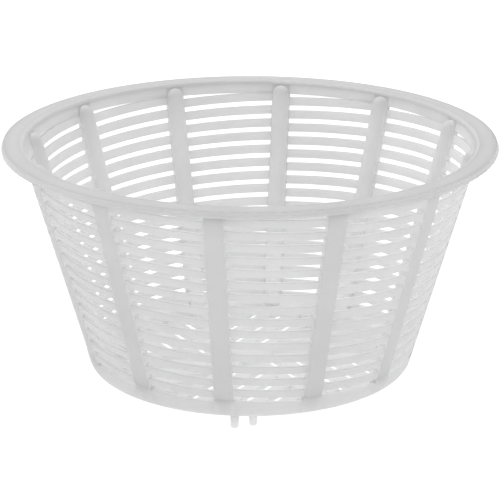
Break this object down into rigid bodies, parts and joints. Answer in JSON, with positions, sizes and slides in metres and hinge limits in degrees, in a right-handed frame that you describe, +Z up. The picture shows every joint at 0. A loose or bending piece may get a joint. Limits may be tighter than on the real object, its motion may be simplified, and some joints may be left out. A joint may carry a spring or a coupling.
{
  "type": "slotted cheese basket mould",
  "caption": "Round tapered basket mould with tilted drainage slats between ribs, a flanged rim, a slotted floor and short foot pins, for draining and shaping soft cheese.",
  "frame": {"origin": "centre of the plane that the foot pins stand on", "axes": "+Z up along the basket's axis, out of the mouth; -Y through the middle of a rib"},
  "size_m": [0.19, 0.19, 0.0969],
  "materials": {
    "rim_plastic": "satin, translucent white moulding",
    "rib_plastic": "satin, translucent white moulding, thicker section",
    "slat_plastic": "satin, translucent white moulding, thin section",
    "base_plastic": "satin, translucent white moulding",
    "pin_plastic": "satin, translucent white moulding"
  },
  "bodies": {
    "root": {"base_band": "base_plastic", "collar": "rim_plastic", "floor_bars_1": "base_plastic", "floor_bars_2": "base_plastic", "floor_bars_3": "base_plastic", "floor_bars_4": "base_plastic", "floor_bars_5": "base_plastic", "floor_bars_6": "base_plastic", "floor_border": "base_plastic", "floor_hub": "base_plastic", "floor_spokes": "base_plastic", "foot_pins_1": "pin_plastic", "foot_pins_2": "pin_plastic", "foot_pins_3": "pin_plastic", "foot_pins_4": "pin_plastic", "rib_01": "rib_plastic", "rib_02": "rib_plastic", "rib_03": "rib_plastic", "rib_04": "rib_plastic", "rib_05": "rib_plastic", "rib_06": "rib_plastic", "rib_07": "rib_plastic", "rib_08": "rib_plastic", "rib_09": "rib_plastic", "rib_10": "rib_plastic", "rib_11": "rib_plastic", "rib_12": "rib_plastic", "rim_flange": "rim_plastic", "rim_skirt": "rim_plastic", "slat_row_01": "slat_plastic", "slat_row_02": "slat_plastic", "slat_row_03": "slat_plastic", "slat_row_04": "slat_plastic", "slat_row_05": "slat_plastic", "slat_row_06": "slat_plastic", "slat_row_07": "slat_plastic", "slat_row_08": "slat_plastic", "slat_row_09": "slat_plastic", "slat_row_10": "slat_plastic", "slat_row_11": "slat_plastic", "slat_row_12": "slat_plastic", "slat_row_13": "slat_plastic", "slat_row_14": "slat_plastic", "slat_row_15": "slat_plastic"}
  },
  "joints": []
}
